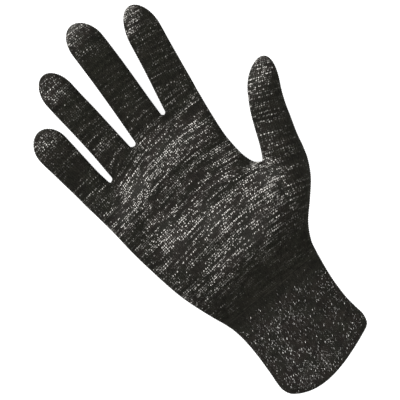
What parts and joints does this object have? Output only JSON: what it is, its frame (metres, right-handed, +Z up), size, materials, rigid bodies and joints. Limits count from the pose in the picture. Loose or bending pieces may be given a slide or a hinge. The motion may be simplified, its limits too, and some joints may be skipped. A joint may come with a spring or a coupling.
{
  "type": "cut-resistant knitted work glove",
  "caption": "Seamless knitted work glove for the right hand in a dark flecked yarn, palm side up, with an elastic knitted cuff and a hollow for the hand.",
  "frame": {"origin": "on the surface that the glove lies on, under the middle of its outline", "axes": "+Y towards the fingertips, +X towards the thumb, +Z up out of the palm; the back of the hand lies on z = 0"},
  "size_m": [0.1486, 0.264, 0.0302],
  "materials": {
    "hand_knit": "matt plain knit in charcoal yarn, with near-white flecks in streaks along the rows",
    "cuff_knit": "matt elastic knit in the same charcoal yarn, drawn in, with sparse near-white flecks"
  },
  "bodies": {
    "root": {"cuff": "cuff_knit", "palm": "hand_knit", "little_finger": "hand_knit", "ring_finger": "hand_knit", "middle_finger": "hand_knit", "index_finger": "hand_knit", "thumb": "hand_knit"}
  },
  "joints": []
}
